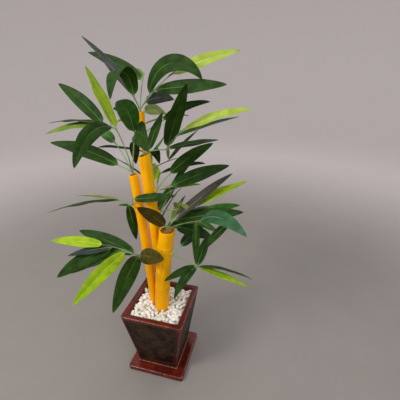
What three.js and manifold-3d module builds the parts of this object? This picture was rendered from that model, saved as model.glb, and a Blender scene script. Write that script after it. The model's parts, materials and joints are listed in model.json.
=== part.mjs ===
// An artificial bamboo in a square glazed pot: four painted canes stand in white gravel, and sprays
// of plastic leaves are plugged into their cut tops and their nodes.
// Millimetres, +Z up. The origin is the middle of the foot plate's flat underside, and the pot's
// sides run along X and Y.
import * as THREE from "three";
import { mergeVertices } from "three/addons/utils/BufferGeometryUtils.js";
import Module from "manifold-3d";

const wasm = await Module();
wasm.setup();

// Driving dimensions.

const GAP = 0.3; // left between pieces that touch

const PLATE = { side: 144, height: 13, corner: 7, edge: 3 };

const POT = {
  top: 180,
  rim: 150, // side of the square at the rim
  foot: 100, // side of the square at the foot
  ledge: 106, // side of the thin step under the foot
  ledgeHeight: 4,
  wall: 13,
  floor: 14,
  corner: 4,
  edge: 2.5, // rounding of the rim
  panelInset: 8, // smooth border round each textured panel
  panelDepth: 1.6,
};

const GRAVEL = { top: 169, cells: 12, lump: 2.5, seed: 11 };

// A cane runs from its foot, deep in the gravel, past its knee to its cut top. Rings are the
// heights of its nodes. At each the cane swells by proud: crest is half the height of the ring's
// flat, and foot is half its whole height.
const CANE_SIDES = 16;
const RING = { proud: 1.1, crest: 1.1, foot: 4.4 };
const HOLLOW = { depth: 8, wall: 3 };
const CANES = {
  cane_front: {
    foot: [2, -8, 132], knee: [7, -8, 270], top: [28, -10, 391],
    radius: [17, 17.2], rings: [232, 345], colour: 0xf7b900,
  },
  cane_left: {
    foot: [-21, 6, 132], knee: [-31, 6, 330], top: [-45, 0, 507],
    radius: [10.2, 9.6], rings: [306, 428], colour: 0xf5b400,
  },
  cane_middle: {
    foot: [-3, 25, 132], knee: [-13, 20, 350], top: [-20, 6, 551],
    radius: [13, 12.7], rings: [258, 415], colour: 0xffc40a,
  },
  cane_tall: {
    foot: [-12, 46, 132], knee: [-22, 40, 400], top: [-32, 28, 630],
    radius: [7.5, 7.2], rings: [335, 425, 505, 582], colour: 0xf2ae00,
  },
};

// Leaf blades. Width and thickness are shares of a leaf's length, and breadth varies the width
// from leaf to leaf. Stalk and tip are the least half widths at its two ends. Under 1, lean moves
// the widest place towards the stalk and fullness makes the outline fuller than a sine.
const LEAF = {
  width: 0.205, thickness: 0.012, breadth: [0.92, 1.08], stalk: 0.9, tip: 0.4, segments: 5,
  lean: 0.78, fullness: 0.68,
};
const TWIG = { radius: 1.4, tipRadius: 1.1, sides: 5, segments: 3, curl: 16 };

// A spray's stem stands proud of a cut top, or leaves the side of a cane as a stub. Its twigs
// start a little below its end.
const STEM = { proud: 3, stub: 5, sink: 1.5 };
const SPRAY_SEED = 40;

const GLAZE = { color: 0x5f1e14, roughness: 0.25, metalness: 0 };
const STONE = { color: 0xded8cb, roughness: 0.9, metalness: 0 };
const PAINT = { roughness: 0.35, metalness: 0 };
const PLASTIC = { roughness: 0.5, metalness: 0 };
const TONES = {
  lime: 0xa9c41a,
  green: 0x3c6b2a,
  dark: 0x1f4216,
  olive: 0x6f8a3a,
  grey: 0x4a5a50,
};

// Sprays. Each is plugged into the cut top of a cane, or into its side at a height and a bearing.
// Bearings are turned from +X towards +Y, rises are above level, both in degrees.
// A twig: [twig it grows from, place along it, bearing, rise, length].
// A leaf: [its twig, place along it, bearing, rise, length, curl, turn, tone]. Its rise is that of
// the straight line from base to tip, curl is how far it bends down on its way, and turn rolls
// the blade about its midrib from lying flat.
const SPRAYS = [
  {
    name: "spray_top",
    cane: "cane_tall",
    twigs: [
      [null, 0, -15, 40, 100],
      [null, 0, 100, 55, 70],
      [null, 0, -95, 55, 30],
    ],
    leaves: [
      [0, 0.2, 81, -2, 120, 30, 80, "grey"],
      [0, 0.38, -16, 15, 154, 138, 76, "dark"],
      [0, 0.55, -15, 5, 148, 6, 60, "dark"],
      [0, 1, 44, 16, 157, 15, 34, "lime"],
      [1, 1, 130, 9, 110, 10, -20, "olive"],
      [1, 0.9, 162, 20, 165, 20, -25, "dark"],
      [2, 1, -84, 3, 150, 165, 10, "green"],
      [2, 1, 158, 38, 180, 20, 15, "grey"],
    ],
  },
  {
    name: "spray_middle",
    cane: "cane_middle",
    twigs: [
      [null, 0, 0, 10, 50],
      [0, 1, -10, 50, 50],
    ],
    leaves: [
      [0, 0.35, 102, -33, 95, 50, -32, "dark"],
      [0, 0.2, 86, 42, 100, 10, 0, "dark"],
      [1, 0.1, -48, 52, 152, 10, 0, "dark"],
      [1, 0.2, 92, 33, 100, 20, 20, "olive"],
      [1, 0.05, 38, 4, 112, 10, 15, "dark"],
      [1, 0.7, 34, 13, 135, 10, 0, "olive"],
      [1, 1, -24, 19, 156, 18, 32, "lime"],
      [1, 0.1, 110, -60, 32, 10, 0, "olive"],
    ],
  },
  {
    name: "spray_right",
    cane: "cane_middle",
    height: 469,
    side: 0,
    twigs: [
      [null, 0, 5, 52, 50],
      [null, 0, 5, 20, 33],
    ],
    leaves: [
      [0, 1, -18, 37, 128, 15, -70, "dark"],
      [1, 1, 38, 12, 142, 15, 50, "dark"],
    ],
  },
  {
    name: "spray_left_top",
    cane: "cane_left",
    twigs: [
      [null, 0, 160, 12, 40],
      [null, 0, 150, 42, 80],
      [null, 0, -115, 73, 98],
      [2, 1, 165, 10, 40],
      [null, 0, -40, 72, 92],
    ],
    leaves: [
      [0, 1, 178, 13, 176, 25, -35, "dark"],
      [1, 1, 141, 4, 105, 30, -46, "green"],
      [2, 1, 145, 45, 155, 10, 20, "lime"],
      [3, 0.3, -91, -20, 140, 80, -40, "dark"],
      [3, 0.8, 168, 34, 128, 20, -50, "dark"],
      [3, 1, -178, -11, 132, 20, -25, "olive"],
      [3, 0.9, 172, -3, 142, 20, 0, "dark"],
      [4, 1, -70, 26, 165, 40, 19, "green"],
      [4, 0.95, -57, 3, 170, 40, 59, "dark"],
      [4, 0.8, 118, -43, 100, 30, 2, "dark"],
    ],
  },
  {
    name: "spray_left_node",
    cane: "cane_left",
    height: 436,
    side: 225,
    twigs: [
      [null, 0, -175, 28, 32],
      [null, 0, -53, 65, 24],
    ],
    leaves: [
      [0, 1, -173, 2, 97, 10, 12, "olive"],
      [0, 0.9, -166, -11, 172, 20, 12, "dark"],
      [1, 1, 2, 10, 96, 0, 45, "dark"],
      [0, 0.35, 96, -78, 105, 5, -26, "dark"],
    ],
  },
  {
    name: "spray_front",
    cane: "cane_front",
    twigs: [
      [null, 0, 40, 45, 55],
      [null, 0, -10, 25, 85],
      [null, 0, 160, 40, 20],
      [1, 1, 10, 0, 60],
    ],
    leaves: [
      [0, 0.3, 23, 39, 166, 10, 12, "grey"],
      [0, 0.9, 16, 26, 152, 10, 10, "lime"],
      [0, 0.3, 92, 13, 82, 10, 24, "olive"],
      [0, 0.4, 10, 10, 150, 10, 60, "dark"],
      [1, 1, -43, 14, 150, 60, 45, "green"],
      [1, 0.9, -77, -72, 88, 5, 30, "dark"],
      [3, 1, -160, -50, 80, 20, -50, "dark"],
      [1, 0.9, 58, -37, 80, 10, 60, "green"],
      [1, 0.25, 54, -33, 130, 10, 79, "dark"],
      [2, 0.35, -98, 42, 128, 10, 62, "dark"],
    ],
  },
  {
    name: "spray_low_right",
    cane: "cane_front",
    height: 336,
    side: -20,
    twigs: [
      [null, 0, 0, -20, 60],
      [null, 0, 10, 50, 30],
    ],
    leaves: [
      [0, 1, 89, 10, 110, 5, 18, "dark"],
      [0, 1, 3, -18, 122, 10, -6, "lime"],
      [0, 1, 16, -17, 132, 30, -20, "dark"],
      [0, 1, -125, 3, 85, 20, -30, "dark"],
      [0, 1, -109, -20, 90, 60, -33, "dark"],
      [1, 1, 84, -9, 125, 10, 41, "dark"],
    ],
  },
  {
    name: "spray_low_left",
    cane: "cane_left",
    height: 306,
    side: 210,
    twigs: [
      [null, 0, -140, 30, 50],
      [0, 0.5, -170, 20, 45],
      [1, 1, -170, 12, 22],
    ],
    leaves: [
      [0, 0.8, -101, -8, 160, 20, -40, "lime"],
      [0, 0.15, -78, 2, 185, 20, -25, "green"],
      [1, 1, -163, -30, 165, 20, -60, "dark"],
      [1, 0.95, -165, -12, 112, 15, -20, "grey"],
      [2, 1, -170, 2, 125, 15, -40, "lime"],
      [0, 0.3, 178, 15, 152, 15, -50, "dark"],
      [0, 0.1, -44, 28, 165, 5, 66, "olive"],
      [1, 0.4, -164, -25, 150, 20, -40, "dark"],
    ],
  },
];

// Sprays round the back, whose twigs and leaves are drawn by the seeded rule in drawSpray.
const DRAWN_SPRAYS = [
  { name: "spray_back_top", cane: "cane_tall", height: 582, side: 110, twigs: 3, leaves: 3 },
  { name: "spray_back_upper", cane: "cane_tall", height: 505, side: 70, twigs: 3, leaves: 3 },
  { name: "spray_back_middle", cane: "cane_tall", height: 425, side: 90, twigs: 3, leaves: 3 },
  { name: "spray_back_right", cane: "cane_middle", height: 415, side: 20, twigs: 2, leaves: 3 },
  { name: "spray_back_low", cane: "cane_tall", height: 335, side: 70, twigs: 3, leaves: 3 },
];
const RULE = {
  fan: 100, // spread of a spray's twigs, in degrees
  twigRise: [10, 60],
  twigLength: [45, 80],
  spread: [10, 50], // how far a leaf stands off its twig, to left and right in turn
  leafStep: 0.3, // from one leaf back to the next, as a share of the twig
  leafRise: [-20, 35],
  leafLength: [115, 160],
  curl: [10, 45],
  turn: [-60, 60],
  spacing: 2, // least air round each leaf
  samples: 8, // steps at which a leaf's or twig's clearance is tested
  caneSamples: 30,
  twigFree: 0.4, // the tests start here, past the crowded root of the spray
  leafFree: 0.2,
};
const TONE_SHARES = [
  ["dark", 0.55],
  ["green", 0.72],
  ["olive", 0.84],
  ["grey", 0.9],
  ["lime", 1],
];

// Shapes.

const rad = THREE.MathUtils.degToRad;
const mix = THREE.MathUtils.lerp;

// A repeatable stream of numbers from 0 to 1.
function seeded(seed) {
  let state = seed;
  return () => {
    state = (Math.imul(state, 1664525) + 1013904223) >>> 0;
    return state / 2 ** 32;
  };
}

// Moves every vertex of a geometry to the place that a function gives it.
function reshape(geometry, place) {
  const position = geometry.getAttribute("position");
  const point = new THREE.Vector3();
  for (let i = 0; i < position.count; i++) {
    point.fromBufferAttribute(position, i);
    const moved = place(point);
    position.setXYZ(i, moved.x, moved.y, moved.z);
  }
  return geometry;
}

function toSolid(geometry) {
  const bare = geometry.clone();
  bare.deleteAttribute("normal");
  bare.deleteAttribute("uv");
  const merged = mergeVertices(bare, 1e-4);
  return new wasm.Manifold(
    new wasm.Mesh({
      numProp: 3,
      vertProperties: merged.getAttribute("position").array,
      triVerts: new Uint32Array(merged.index.array),
    }),
  );
}

function toGeometry(solid) {
  const mesh = solid.getMesh();
  const geometry = new THREE.BufferGeometry();
  geometry.setAttribute("position", new THREE.BufferAttribute(mesh.vertProperties, mesh.numProp));
  geometry.setIndex(new THREE.BufferAttribute(mesh.triVerts, 1));
  geometry.computeVertexNormals();
  return geometry;
}

function roundedSquare(side, corner) {
  const half = side / 2;
  const shape = new THREE.Shape();
  shape.moveTo(-half + corner, -half);
  shape.lineTo(half - corner, -half);
  shape.absarc(half - corner, -half + corner, corner, -Math.PI / 2, 0);
  shape.lineTo(half, half - corner);
  shape.absarc(half - corner, half - corner, corner, 0, Math.PI / 2);
  shape.lineTo(-half + corner, half);
  shape.absarc(-half + corner, half - corner, corner, Math.PI / 2, Math.PI);
  shape.lineTo(-half, -half + corner);
  shape.absarc(-half + corner, -half + corner, corner, Math.PI, Math.PI * 1.5);
  return shape;
}

// A square block with rounded corners. Its long edges are rounded where an edge radius is given.
function squareBlock({ side, bottom, top, corner, edge = 0 }) {
  const geometry = new THREE.ExtrudeGeometry(roundedSquare(side - 2 * edge, corner - edge), {
    depth: top - bottom - 2 * edge,
    curveSegments: 3,
    bevelEnabled: edge > 0,
    bevelSize: edge,
    bevelThickness: edge,
    bevelSegments: 2,
  });
  return geometry.translate(0, 0, bottom + edge);
}

// Half the pot's side at a height: the sides slope in straight lines from rim to foot.
const potBottom = PLATE.height + GAP;
const potFoot = potBottom + POT.ledgeHeight;
const potHalf = (z) => mix(POT.foot / 2, POT.rim / 2, (z - potFoot) / (POT.top - potFoot));

// Draws a block of the rim's size in towards the foot, so that its sides slope as the pot's do.
function taper(geometry, inset = 0) {
  return reshape(geometry, (p) => {
    const size = (potHalf(p.z) - inset) / (POT.rim / 2 - inset);
    return new THREE.Vector3(p.x * size, p.y * size, p.z);
  });
}

function footPlate() {
  return squareBlock({
    side: PLATE.side, bottom: 0, top: PLATE.height, corner: PLATE.corner, edge: PLATE.edge,
  });
}

// The cutter of one textured panel, on the side that faces -Y.
function panelCutter() {
  const low = potFoot + POT.panelInset;
  const high = POT.top - POT.panelInset;
  const unit = new THREE.BoxGeometry(1, 1, 1);
  return reshape(unit, (p) => {
    const z = mix(low, high, p.z + 0.5);
    const face = potHalf(z);
    const y = p.y < 0 ? -face - POT.panelDepth : -face + POT.panelDepth;
    return new THREE.Vector3(p.x * 2 * (face - POT.panelInset), y, z);
  });
}

function pot() {
  const body = taper(
    squareBlock({ side: POT.rim, bottom: potFoot, top: POT.top, corner: POT.corner, edge: POT.edge }),
  );
  const ledge = squareBlock({
    side: POT.ledge, bottom: potBottom, top: potFoot + POT.edge * 1.5, corner: POT.corner,
  });
  const cavity = taper(
    squareBlock({
      side: POT.rim - 2 * POT.wall, bottom: potBottom + POT.floor, top: POT.top + POT.wall,
      corner: POT.corner,
    }),
    POT.wall,
  );
  let solid = toSolid(body).add(toSolid(ledge)).subtract(toSolid(cavity));
  for (let side = 0; side < 4; side++) {
    solid = solid.subtract(toSolid(panelCutter().rotateZ((side * Math.PI) / 2)));
  }
  return toGeometry(solid);
}

// The gravel fills the pot up to a lumpy top, with a socket round each cane.
function gravel(sockets) {
  const random = seeded(GRAVEL.seed);
  const bottom = potBottom + POT.floor + GAP;
  const side = POT.rim - 2 * POT.wall - 2 * GAP;
  const block = new THREE.BoxGeometry(side, side, 1, GRAVEL.cells, GRAVEL.cells, 1);
  const lumps = new Map();
  const inset = POT.wall + GAP;
  const placed = reshape(block, (p) => {
    const key = p.x.toFixed(2) + " " + p.y.toFixed(2);
    if (!lumps.has(key)) lumps.set(key, GRAVEL.lump * (2 * random() - 1));
    const z = p.z < 0 ? bottom : GRAVEL.top + lumps.get(key);
    const size = (potHalf(z) - inset) / (POT.rim / 2 - inset);
    return new THREE.Vector3(p.x * size, p.y * size, z);
  });
  const fill = taper(
    squareBlock({ side, bottom, top: POT.top, corner: POT.corner }),
    inset,
  );
  let solid = toSolid(placed).intersect(toSolid(fill));
  for (const socket of sockets) solid = solid.subtract(socket);
  return toGeometry(solid);
}

// The line of a cane through its foot, knee and top.
function caneCurve(cane) {
  const [foot, knee, top] = [cane.foot, cane.knee, cane.top].map((p) => new THREE.Vector3(...p));
  return new THREE.QuadraticBezierCurve3(foot, knee, top);
}

// The place along a cane's line, from 0 to 1, at a height.
function placeAtHeight(curve, z) {
  let along = 0;
  for (let step = 0.5; step > 1e-8; step /= 2) {
    if (curve.getPoint(along + step).z < z) along += step;
  }
  return along;
}

// A cane as a turned profile, laid along its line. A grown one cuts the cane's socket.
function caneGeometry(cane, grow = 0) {
  const curve = caneCurve(cane);
  const height = curve.getLength();
  const radiusAt = (h) => mix(cane.radius[0], cane.radius[1], h / height) + grow;
  const profile = [new THREE.Vector2(0, -grow), new THREE.Vector2(radiusAt(0), -grow)];
  for (const ring of cane.rings) {
    const h = placeAtHeight(curve, ring) * height;
    const r = radiusAt(h);
    profile.push(new THREE.Vector2(r, h - RING.foot));
    profile.push(new THREE.Vector2(r + RING.proud, h - RING.crest));
    profile.push(new THREE.Vector2(r + RING.proud, h + RING.crest));
    profile.push(new THREE.Vector2(r, h + RING.foot));
  }
  const r = radiusAt(height);
  profile.push(new THREE.Vector2(r, height));
  if (grow === 0) {
    profile.push(new THREE.Vector2(r - HOLLOW.wall, height));
    profile.push(new THREE.Vector2(r - HOLLOW.wall, height - HOLLOW.depth));
    profile.push(new THREE.Vector2(0, height - HOLLOW.depth));
  } else {
    profile.push(new THREE.Vector2(0, height));
  }
  const turned = new THREE.LatheGeometry(profile, CANE_SIDES);
  return reshape(turned, (p) => {
    const t = p.y / height;
    const along = THREE.MathUtils.clamp(t, 0, 1);
    const centre = curve.getPoint(along);
    const up = curve.getTangent(along);
    const right = new THREE.Vector3(1, 0, 0).addScaledVector(up, -up.x).normalize();
    const back = new THREE.Vector3().crossVectors(up, right);
    return centre
      .addScaledVector(up, (t - along) * height)
      .addScaledVector(right, p.x)
      .addScaledVector(back, -p.z);
  });
}

// The arc of a leaf or a twig. Its rise drops by the curl on its way from base to end.
function arc({ base, bearing, rise, length, curl }) {
  const [b, mean] = [rad(bearing), rad(rise)];
  const bend = Math.max(rad(curl), 1e-3);
  const start = mean + bend / 2;
  return (t) => {
    const now = start - bend * t;
    const out = (length / bend) * (Math.sin(start) - Math.sin(now));
    const up = (length / bend) * (Math.cos(now) - Math.cos(start));
    return {
      point: new THREE.Vector3(Math.cos(b) * out, Math.sin(b) * out, up).add(base),
      side: new THREE.Vector3(-Math.sin(b), Math.cos(b), 0),
      tangent: new THREE.Vector3(
        Math.cos(now) * Math.cos(b), Math.cos(now) * Math.sin(b), Math.sin(now),
      ),
    };
  };
}

// Lays a unit cylinder along an arc: x becomes the half width across, z the half thickness.
function layAlong(line, { sides, segments, width, thickness, turn = 0 }) {
  const unit = new THREE.CylinderGeometry(1, 1, 1, sides, segments);
  const roll = rad(turn);
  return reshape(unit, (p) => {
    const t = p.y + 0.5;
    const { point, side, tangent } = line(t);
    const normal = new THREE.Vector3().crossVectors(tangent, side);
    const across = side.clone().multiplyScalar(Math.cos(roll)).addScaledVector(normal, Math.sin(roll));
    const face = new THREE.Vector3().crossVectors(tangent, across);
    return point.addScaledVector(across, p.x * width(t)).addScaledVector(face, -p.z * thickness(t));
  });
}

// A lance outline: the width at a place from 0 to 1, as a share of the greatest.
const lance = (t) => Math.sin(Math.PI * t ** LEAF.lean) ** LEAF.fullness;

function leafSolid(line, length, breadth, turn) {
  const half = (length * LEAF.width * breadth) / 2;
  const thick = (length * LEAF.thickness) / 2;
  const least = (t) => mix(LEAF.stalk, LEAF.tip, t);
  return toSolid(
    layAlong(line, {
      sides: 4,
      segments: LEAF.segments,
      width: (t) => Math.max(half * lance(t), least(t)),
      thickness: (t) => mix(thick, least(t), t ** 3),
      turn,
    }),
  );
}

function twigSolid(line) {
  const radius = (t) => mix(TWIG.radius, TWIG.tipRadius, t);
  return toSolid(
    layAlong(line, { sides: TWIG.sides, segments: TWIG.segments, width: radius, thickness: radius }),
  );
}

// Where a spray's stem starts, the way it leaves, and the direction across it. It rises from the
// floor of the cut top's hollow, or leaves the side of the cane squarely, at a ring or between two.
function sprayRoot({ cane, height, side }) {
  const curve = caneCurve(CANES[cane]);
  if (height === undefined) {
    const way = curve.getTangent(1);
    const floor = curve.getPoint(1 - HOLLOW.depth / curve.getLength());
    const across = new THREE.Vector3(0, 1, 0).projectOnPlane(way).normalize();
    return { base: floor.addScaledVector(way, GAP), way, across };
  }
  const along = placeAtHeight(curve, height);
  const up = curve.getTangent(along);
  const way = new THREE.Vector3(Math.cos(rad(side)), Math.sin(rad(side)), 0).projectOnPlane(up).normalize();
  const swelling = CANES[cane].rings.includes(height) ? RING.proud : 0;
  const reach = mix(...CANES[cane].radius, along) + swelling + GAP;
  const across = new THREE.Vector3().crossVectors(up, way);
  return { base: curve.getPoint(along).addScaledVector(way, reach), way, across };
}

// Places that are taken, as balls: a twig or leaf of a drawn spray that would touch one is left
// out, so each spray keeps to its own space.
const taken = [];

function ballsAlong(owner, line, radius, from) {
  return Array.from({ length: RULE.samples + 1 }, (_, i) => {
    const t = mix(from, 1, i / RULE.samples);
    return { owner, centre: line(t).point, radius: radius(t) };
  });
}

const isClear = (balls) =>
  balls.every((ball) =>
    taken.every(
      (other) =>
        other.owner === ball.owner ||
        other.centre.distanceTo(ball.centre) > other.radius + ball.radius + RULE.spacing,
    ),
  );

for (const [name, cane] of Object.entries(CANES)) {
  const curve = caneCurve(cane);
  for (let step = 0; step <= RULE.caneSamples; step++) {
    const t = step / RULE.caneSamples;
    taken.push({ owner: name, centre: curve.getPoint(t), radius: mix(...cane.radius, t) });
  }
}

const leafBalls = (owner, line, length) =>
  ballsAlong(owner, line, (t) => (length * LEAF.width * lance(t)) / 2, RULE.leafFree);

// The seeded rule: twigs fan out about the spray's bearing, and leaves stand off to the left and
// right of each in turn, closer together towards its end.
function drawSpray(plan, random) {
  const draw = ([low, high]) => mix(low, high, random());
  const twigs = [];
  const leaves = [];
  for (let i = 0; i < plan.twigs; i++) {
    const offset = plan.twigs > 1 ? i / (plan.twigs - 1) - 0.5 : 0;
    const bearing = plan.side + RULE.fan * offset;
    twigs.push([null, 0, bearing, draw(RULE.twigRise), draw(RULE.twigLength)]);
    for (let j = 0; j < plan.leaves; j++) {
      const place = 1 - RULE.leafStep * j;
      const way = j % 2 ? 1 : -1;
      const leafBearing = bearing + way * draw(RULE.spread);
      const [rise, length] = [draw(RULE.leafRise), draw(RULE.leafLength)];
      const [curl, turn, share] = [draw(RULE.curl), draw(RULE.turn), random()];
      const tone = TONE_SHARES.find(([, upTo]) => share <= upTo)[0];
      leaves.push([i, place, leafBearing, rise, length, curl, turn, tone]);
    }
  }
  return { ...plan, twigs, leaves, drawn: true };
}

// One spray: a stem, the twigs that branch from it, and its leaves, all fused.
function spray(plan, random) {
  const { base, way, across } = sprayRoot(plan);
  const atTop = plan.height === undefined;
  const stemLength = atTop ? HOLLOW.depth + STEM.proud : STEM.stub;
  const stem = (t) => ({
    point: base.clone().addScaledVector(way, t * stemLength),
    side: across,
    tangent: way,
  });
  const root = stem(1 - STEM.sink / stemLength).point;
  let solid = twigSolid(stem);
  const twigs = [];
  const balls = [];
  const fuse = (piece, own) => {
    solid = solid.add(piece);
    balls.push(...own);
  };
  for (const [parent, along, bearing, rise, length] of plan.twigs) {
    const from = parent === null ? root : twigs[parent].line(along).point;
    const line = arc({ base: from, bearing, rise, length, curl: TWIG.curl });
    const own = ballsAlong(plan.name, line, () => TWIG.radius, RULE.twigFree);
    const kept = !plan.drawn || isClear(own);
    twigs.push({ line, kept });
    if (kept) fuse(twigSolid(line), own);
  }
  for (const [twig, along, bearing, rise, length, curl, turn] of plan.leaves) {
    const breadth = mix(...LEAF.breadth, random());
    const line = arc({ base: twigs[twig].line(along).point, bearing, rise, length, curl });
    const own = leafBalls(plan.name, line, length);
    const kept = !plan.drawn || (twigs[twig].kept && isClear(own));
    if (kept) fuse(leafSolid(line, length, breadth, turn), own);
  }
  taken.push(...balls);
  return toGeometry(solid);
}

// Assembly.

const plant = new THREE.Group();

function place(name, geometry, look) {
  const mesh = new THREE.Mesh(geometry, new THREE.MeshStandardMaterial(look));
  mesh.name = name;
  plant.add(mesh);
}

// A spray is one mesh, so its colour is the mean of its leaves' tones.
function placeSpray(plan, random) {
  const color = new THREE.Color(0, 0, 0);
  for (const leaf of plan.leaves) color.add(new THREE.Color(TONES[leaf.at(-1)]));
  color.multiplyScalar(1 / plan.leaves.length);
  place(plan.name, spray(plan, random), { color, ...PLASTIC });
}

place("foot_plate", footPlate(), GLAZE);
place("pot", pot(), GLAZE);
place("gravel", gravel(Object.values(CANES).map((cane) => toSolid(caneGeometry(cane, GAP)))), STONE);
for (const [name, cane] of Object.entries(CANES)) {
  place(name, caneGeometry(cane), { color: cane.colour, ...PAINT });
}
for (const plan of SPRAYS) placeSpray(plan, seeded(SPRAY_SEED + plant.children.length));
for (const plan of DRAWN_SPRAYS) {
  const random = seeded(SPRAY_SEED + plant.children.length);
  placeSpray(drawSpray(plan, random), random);
}

export default plant;
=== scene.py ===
"""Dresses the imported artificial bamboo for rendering.

The pot, its foot plate and the four canes are skins lofted over loops of points, with their relief in the
mesh. Geometry Nodes lay the gravel and draw the wire stems. Every spray of leaves is grown again by the rule
of its solid, and carried on to petioles, midribs, sheaths and buds.
Sizes are in millimetres, +Z up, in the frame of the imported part; MM turns them into metres.
"""
import json
import math
from types import SimpleNamespace as Named

import bmesh
import bpy
import numpy as np
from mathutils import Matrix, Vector, noise

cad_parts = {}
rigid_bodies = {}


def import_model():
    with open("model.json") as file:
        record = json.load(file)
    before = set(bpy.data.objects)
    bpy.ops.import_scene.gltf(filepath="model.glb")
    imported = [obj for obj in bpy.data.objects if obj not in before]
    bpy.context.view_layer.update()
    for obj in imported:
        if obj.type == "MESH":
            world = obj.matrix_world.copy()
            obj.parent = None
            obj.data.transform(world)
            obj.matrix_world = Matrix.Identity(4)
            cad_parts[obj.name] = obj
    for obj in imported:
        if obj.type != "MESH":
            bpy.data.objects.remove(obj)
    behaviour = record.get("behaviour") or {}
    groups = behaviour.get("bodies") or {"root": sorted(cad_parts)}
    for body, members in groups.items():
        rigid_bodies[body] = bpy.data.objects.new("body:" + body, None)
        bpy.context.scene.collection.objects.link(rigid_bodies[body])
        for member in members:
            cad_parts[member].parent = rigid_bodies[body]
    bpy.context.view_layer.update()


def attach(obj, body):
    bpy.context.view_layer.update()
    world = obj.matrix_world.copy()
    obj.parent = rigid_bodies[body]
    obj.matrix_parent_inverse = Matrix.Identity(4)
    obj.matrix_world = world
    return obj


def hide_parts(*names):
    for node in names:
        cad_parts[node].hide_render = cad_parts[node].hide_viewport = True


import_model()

MM = 0.001
TURN = 2 * math.pi
GOLDEN_ANGLE = math.pi * (3 - math.sqrt(5))

# Pot, plate and gravel. The inmost loops of a skin are small squares round the middle.

GAP = 0.3
PLATE = Named(
    side=144, height=13, corner=7, edge=3, side_steps=60, inmost=10, waver=0.0016, waver_size=24,
    dish=0.8, dish_slope=((4, 0.6), (9, 1)),  # reach in from the edge, and the share of the depth there
)
POT = Named(
    top=180, rim=150, foot=100, ledge=106, ledge_height=4, bevel=1, wall=13, floor=14, fillet=4,
    corner=4, edge=2.5, panel_inset=8, panel_depth=1.6, border_burn=0.85, border_fade=3, burn_top=(4, 6),
    wall_rows=112, inner_rows=14, inmost_under=20, inmost_inside=12,
)
POT_BOTTOM = PLATE.height + GAP
POT_FOOT = POT_BOTTOM + POT.ledge_height
WALL_STEPS = 104  # points along each side of the pot
CORNER_STEPS = 7  # points round each corner
PANEL_EDGE = 3.5  # width of the slope between the smooth border and the embossed panel
EMBOSS = Named(
    size=17, stretch=1.3, swirl=22, swirl_size=40, height=1.05, side_shift=91, seed=7,
    sharpness=3.4, lowest=-0.6, crest_share=0.8, broad_share=0.7, broad_shift=(7.3, 1.9, 4.1),
    grain=0.12, grain_size=2.1, grain_shift=50,
)
GLAZE = Named(
    red="6a1e12", deep_red="48130b", dark_red="2c0d08", burnt="2e1c0d", deep_burnt="1f140a",
    crest="352613", hollow="180f08", speck="c98d68",
    thin="b4826c", thin_share=0.45,  # painted highlight along an edge: its pale colour and share
)
GRAVEL = Named(top=169, layers=(-4.0, -1.0, 2.6), cell=3.0, spacing=7.9, densest=200000.0, seed=11)
CHIP = Named(
    half=(8.8, 6.4, 4.2), kinds=9, corners=10, polar=0.92, round=0.8, uneven=(0.82, 1.1),
    scale=(0.75, 1.15), tilt=0.55,
    wall_inset=3.6, cane_room=1.5,  # the nearest a chip's middle comes to the inner wall and to a cane
    crease=48,
)
BED = Named(sunk=2, uneven=1.2, loops=16, inmost=0.05, side_steps=24, corner_steps=3)

# A cane runs from its foot past its knee to its cut top. Rings are the heights of its nodes, and grooves
# are the bearings of the shallow channel that runs up each length of cane, from the lowest to the top one.

RING_PROUD = 1.1
HOLLOW = Named(depth=8, wall=3)
CANE = Named(
    line_steps=200, around=84, step=2.2, ring_rows=(-6, 7.5, 0.6), cut_room=1.2, slant_reach=16,
    waver=0.16, waver_turns=1.3, ring_tilt=0.5,
    channel=0.055, channel_start=(2, 8), channel_end=(12, 3), past_top=40,
    channel_bend=0.1, channel_bend_size=31, channel_show=(0.45, 0.55), channel_show_size=(17, 29),
    cracks=9, crack_reach=(12, 60), crack_width=0.05, crack_depth=0.22, crack_line=0.55,
)
# Reliefs are sums of humps, each given by its height, place and width. So are the lines of painted shade
# in the creases by the rings and down the channels, by their share in place of a height. Those of a ring lie
# above and below it, and those of a channel across it, in radians.
RING_RELIEF = ((0.75, -2.6, 3.0), (0.65, -0.7, 0.75), (0.6, 3.0, 2.2), (-0.75, 0.7, 0.7))
RING_SHADE = ((1.15, 0.6, 0.8), (0.25, -2.2, 0.8))
CHANNEL_SHADE = ((0.2, 0, 0.2), (0.75, 0, 0.06))
CANES = {
    "cane_front": Named(
        foot=(2, -8, 132), knee=(7, -8, 270), top=(28, -10, 391), radius=(17, 17.2),
        rings=[232, 345], grooves=[120, -88, -52], slant=1.6, colour="ffba00",
    ),
    "cane_left": Named(
        foot=(-21, 6, 132), knee=(-31, 6, 330), top=(-45, 0, 507), radius=(10.2, 9.6),
        rings=[306, 428], grooves=[-60, 150, -78], slant=1.2, colour="ffb700",
    ),
    "cane_middle": Named(
        foot=(-3, 25, 132), knee=(-13, 20, 350), top=(-20, 6, 551), radius=(13, 12.7),
        rings=[258, 415], grooves=[100, -40, -86], slant=3.2, colour="ffc000",
    ),
    "cane_tall": Named(
        foot=(-12, 46, 132), knee=(-22, 40, 400), top=(-32, 28, 630), radius=(7.5, 7.2),
        rings=[335, 425, 505, 582], grooves=[20, -120, 60, -70, 170], slant=1.0, colour="ffae00",
    ),
}
SLANT_BEARING = 15  # the cut tops rise towards this side
STUB = Named(out=4.2, radius=4.4, lip=3.3, bore=2.0, around=20)

# Leaves, twigs and stems.

LEAF = Named(
    width=0.205, breadth=(0.92, 1.08), lean=0.78, fullness=0.68, stalk=0.8, tip=0.3,
    rows=38, crowding=0.92, thickness=0.45, edge_thinning=0.45, under_share=0.6,
    petiole=0.05, petiole_swelling=0.8, opening=(0.2, 1.6),  # where the blade opens, in petioles
    fold=0.13, fold_range=(0.3, 1.4), fold_level=0.4, bulge=0.05, wave=(0.02, 0.1), wave_count=(1.2, 2.6),
)
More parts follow.
